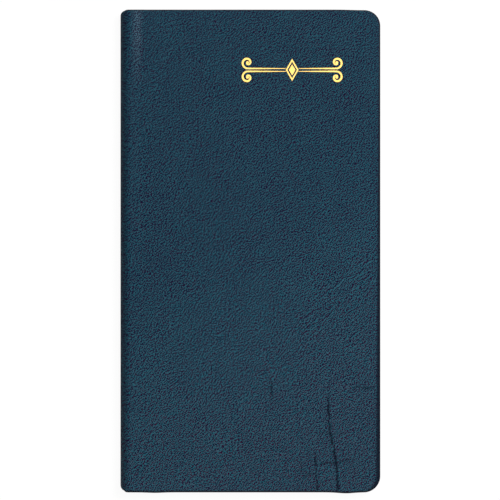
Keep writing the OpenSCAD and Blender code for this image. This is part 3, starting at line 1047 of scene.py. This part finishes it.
def letter_mesh(letter, x, y, cap_height, z0, z1):
    """A plain capital as a thin solid, centred at x, y."""
    curve = bpy.data.curves.new("letter", "FONT")
    curve.body = letter
    curve.extrude = 0.5
    curve.resolution_u = 4
    shaped = placed("letter", curve)
    mesh = bpy.data.meshes.new_from_object(shaped.evaluated_get(bpy.context.evaluated_depsgraph_get()))
    at = np.array([v.co for v in mesh.vertices])
    faces = [tuple(p.vertices) for p in mesh.polygons]
    bpy.data.objects.remove(shaped)
    bpy.data.curves.remove(curve)
    bpy.data.meshes.remove(mesh)
    low, high = at.min(0), at.max(0)
    at[:, :2] = (at[:, :2] - (low[:2] + high[:2]) / 2) * cap_height / CAP_SHARE + (x, y)
    at[:, 2] = np.where(at[:, 2] > 0, z1, z0)
    return [tuple(p) for p in at], faces


STITCHES = 4
STITCH_L = 20.0
LAY = 0.85  # length of one turn of the two plies
PLY_R = 0.52  # radius of a ply, as a share of the thread's
DIVE, DIVE_L = 0.42, 0.7  # how deep a stitch's ends go in, and over which length
PLY_SIDES, LAY_STEPS = 6, 8


def thread_piece(pair):
    """The sewing thread on a fold: two-ply stitches whose ends go in through the fold."""
    low, high = node_box(f"thread_{pair}")
    x, z = (low[0] + high[0]) / 2, (low[2] + high[2]) / 2
    pitch = (high[1] - low[1] - STITCH_L) / (STITCHES - 1)
    radius = (high[0] - low[0]) / 2
    ply = radius * PLY_R
    points, faces = [], []
    steps = int(STITCH_L / LAY * LAY_STEPS)
    for stitch in range(STITCHES):
        y_mid = (stitch - (STITCHES - 1) / 2) * pitch
        for phase in (0, math.pi):
            base = len(points)
            for i in range(steps + 1):
                along = -STITCH_L / 2 + STITCH_L * i / steps
                to_end = STITCH_L / 2 - abs(along)
                dive = DIVE * (1 - smoothstep(0, DIVE_L, to_end))
                turn = phase + 2 * math.pi * along / LAY
                cx = x + dive + (radius - ply) * math.cos(turn)
                cz = z + (radius - ply) * math.sin(turn)
                for k in range(PLY_SIDES):
                    a = 2 * math.pi * k / PLY_SIDES
                    points.append((cx + ply * math.cos(a), y_mid + along, cz + ply * math.sin(a)))
            for i in range(steps):
                for k in range(PLY_SIDES):
                    a, following = base + i * PLY_SIDES, (k + 1) % PLY_SIDES
                    faces.append((a + k, a + following, a + PLY_SIDES + following, a + PLY_SIDES + k))
            faces.append(tuple(base + k for k in reversed(range(PLY_SIDES))))
            faces.append(tuple(base + steps * PLY_SIDES + k for k in range(PLY_SIDES)))
    mesh_piece(f"sewing_{pair}", points, faces, THREAD, f"section_{pair}", "thread",
               [f"thread_{pair}"], 60)


# ---------------- build the book
for side, front in (("front", True), ("back", False)):
    cover_leather(f"{side}_leather", LEATHER, f"{side}_cover", [f"{side}_cover_leather"], front)
    board_piece(side, front, BOARD)
    dress(f"{side}_spine_liner", LINER)
    paste_r = CORNER_R - (FORE_X - PASTE_HIGH[0])
    paste = dense_outline(PASTE_LOW[0], PASTE_HIGH[0], PASTE_HIGH[1], paste_r)
    spacing = 0.3
    paper_sheet(f"{side}_paste_paper", paste, spacing, pastedown_height, PAPER_T - PAPER_SUNK,
                ENDPAPER, f"{side}_cover", f"{side}_pastedown", not front)
    low, high = node_box("front_flyleaf")
    free = dense_outline(low[0], high[0], high[1], PAGE_CORNER_R)
    paper_sheet(f"{side}_fly_paper", free, 3.0, flyleaf_height(high[2]), PAPER_T - PAPER_SUNK,
                ENDPAPER, f"{side}_endleaf", f"{side}_flyleaf", not front)
foil_piece(FOIL)
for number, pair in enumerate(INDEX):
    leaves_piece(number, pair)
    tab_piece(number, pair)
    thread_piece(pair)


# ---------------- floor, light and camera
# From here on in metres
FLOOR_HALF = 3.0
FLOOR_Z = -0.0002
FLOOR_GREY = 0.5
FLOOR_GLOW, GLOW_SHARE = 1.12, 0.85  # its own white, and the share of it in the floor's look
ROOM_LIGHT = 0.14
KEY_PLACE, KEY_SIZE, KEY_POWER = (0.42, 0.3, 1.1), 0.6, 14.9


def shows_backdrop(tree):
    """1 for rays from the camera, mirrored or through something clear: they see the white."""
    rays = new_node(tree, "LightPath")
    shown = rays.outputs["Is Camera Ray"]
    for kind in ("Is Glossy Ray", "Is Transmission Ray"):
        shown = math_node(tree, "MAXIMUM", shown, rays.outputs[kind])
    return shown


def mix_shaders(tree, share, first, second, output):
    mix = new_node(tree, "MixShader")
    for socket, value in zip(mix.inputs, (share, first.outputs[0], second.outputs[0])):
        feed(tree, socket, value)
    new_node(tree, output, Surface=mix.outputs[0])


def stage():
    """A plain white floor that fills the view and keeps the book's shadow."""
    mesh = bpy.data.meshes.new("floor")
    corners = [(x * FLOOR_HALF, y * FLOOR_HALF, 0) for x, y in ((-1, -1), (1, -1), (1, 1), (-1, 1))]
    mesh.from_pydata(corners, [], [(0, 1, 2, 3)])
    floor = placed("floor", mesh)
    floor.location.z = FLOOR_Z
    made = bpy.data.materials.new("floor_white")
    tree = empty_tree(made)
    diffuse = new_node(tree, "BsdfDiffuse", Color=[FLOOR_GREY] * 3)
    glow = new_node(tree, "Emission", Strength=FLOOR_GLOW)
    seen = math_node(tree, "MULTIPLY", shows_backdrop(tree), GLOW_SHARE)
    mix_shaders(tree, seen, diffuse, glow, "OutputMaterial")
    mesh.materials.append(made)


def key_light():
    """One large soft lamp over the head and the fore-edge."""
    data = bpy.data.lights.new("key", "AREA")
    data.shape = "RECTANGLE"
    data.size = data.size_y = KEY_SIZE
    data.energy = KEY_POWER
    lamp = placed("key", data)
    lamp.location = KEY_PLACE
    lamp.rotation_euler = (-Vector(KEY_PLACE)).to_track_quat("-Z", "Y").to_euler()


def world_light():
    """Even light from all sides, which is seen as white."""
    world = bpy.data.worlds.new("studio")
    tree = empty_tree(world)
    light, white = (new_node(tree, "Background", Strength=k) for k in (ROOM_LIGHT, 1.0))
    mix_shaders(tree, shows_backdrop(tree), light, white, "OutputWorld")
    bpy.context.scene.world = world


FRAME_PX = 500  # the picture's size
CAMERA_H = 2.6
LENS = 400.0  # focal length in millimetres


def camera():
    """Straight above the cover, with a long lens, framed as in the photograph."""
    data = bpy.data.cameras.new("camera")
    data.lens = LENS
    height = CAMERA_H - BOOK_T * MM
    data.sensor_width = LENS * FRAME_PX * PIXEL * MM / height
    data.sensor_fit = "HORIZONTAL"
    data.clip_end = 20.0
    made = placed("camera", data)
    middle = FRAME_PX / 2
    across, up = from_photo(middle, middle)
    made.location = (across * MM, up * MM, CAMERA_H)
    bpy.context.scene.camera = made


stage()
world_light()
key_light()
camera()
bpy.context.scene.view_settings.view_transform = "Standard"
